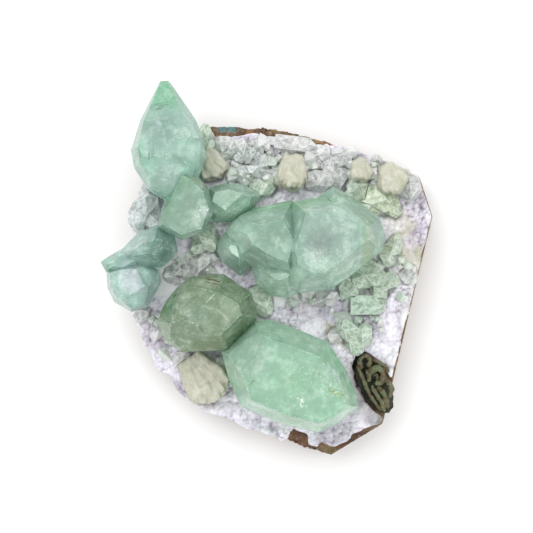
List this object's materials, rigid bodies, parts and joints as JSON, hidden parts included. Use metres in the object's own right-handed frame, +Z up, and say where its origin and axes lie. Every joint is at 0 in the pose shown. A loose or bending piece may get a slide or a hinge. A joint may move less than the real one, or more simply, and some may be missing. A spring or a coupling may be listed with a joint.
{
  "type": "apophyllite mineral specimen",
  "caption": "Green apophyllite crystals on white botryoidal chalcedony over a sawn basalt slab, with stilbite sheaves and a small hollow of celadonite.",
  "frame": {"origin": "middle of the bounding box, on the sawn base", "axes": "+Z up from the base, +X to the right and +Y away as the picture shows the specimen from above"},
  "size_m": [0.0996, 0.1122, 0.0408],
  "materials": {
    "basalt": "rough",
    "chalcedony": "frosted",
    "celadonite": "earthy",
    "stilbite": "silky",
    "apophyllite_spire": "vitreous",
    "apophyllite_shoulder": "vitreous",
    "apophyllite_west": "frosted",
    "apophyllite_centre": "vitreous",
    "apophyllite_lower_left": "vitreous",
    "apophyllite_lower_right": "vitreous",
    "green_crystal": "vitreous",
    "clear_crystal": "vitreous"
  },
  "bodies": {
    "root": {"basalt_matrix": "basalt", "chalcedony_crust": "chalcedony", "celadonite_worms": "celadonite", "apophyllite_spire": "apophyllite_spire", "apophyllite_shoulder": "apophyllite_shoulder", "apophyllite_west": "apophyllite_west", "apophyllite_centre": "apophyllite_centre", "apophyllite_lower_left": "apophyllite_lower_left", "apophyllite_lower_right": "apophyllite_lower_right", "green_crystal_beside_spire": "green_crystal", "clear_crystals_beside_spire": "clear_crystal", "clear_crystals_rim_left": "clear_crystal", "clear_crystals_rim_middle": "clear_crystal", "clear_crystals_upper": "clear_crystal", "clear_blade_rim": "clear_crystal", "clear_crystals_rim_right": "clear_crystal", "clear_crystals_inner_right": "clear_crystal", "grey_green_crystals": "green_crystal", "green_pyramid": "green_crystal", "yellow_green_crystals": "green_crystal", "clear_crystals_east_rim": "clear_crystal", "green_crystals_upper_right": "green_crystal", "green_crystals_right": "green_crystal", "square_crystal": "green_crystal", "flat_crystal_right": "green_crystal", "clear_shards_right": "clear_crystal", "aqua_crystals": "green_crystal", "small_crystal_middle": "clear_crystal", "clear_shards_below_centre": "clear_crystal", "clear_crystals_left": "clear_crystal", "clear_shards_left": "clear_crystal", "clear_shards_inner": "clear_crystal", "green_prism_inner": "green_crystal", "pointed_crystal_middle": "green_crystal", "clear_crystal_lower_left": "clear_crystal", "shard_lower_left": "clear_crystal", "small_crystal_lower_left": "clear_crystal", "stilbite_sheaf_upper_left": "stilbite", "stilbite_sheaf_upper": "stilbite", "stilbite_sheaf_upper_right": "stilbite", "stilbite_sheaf_right": "stilbite", "stilbite_sheaf_lower_left": "stilbite"}
  },
  "joints": []
}
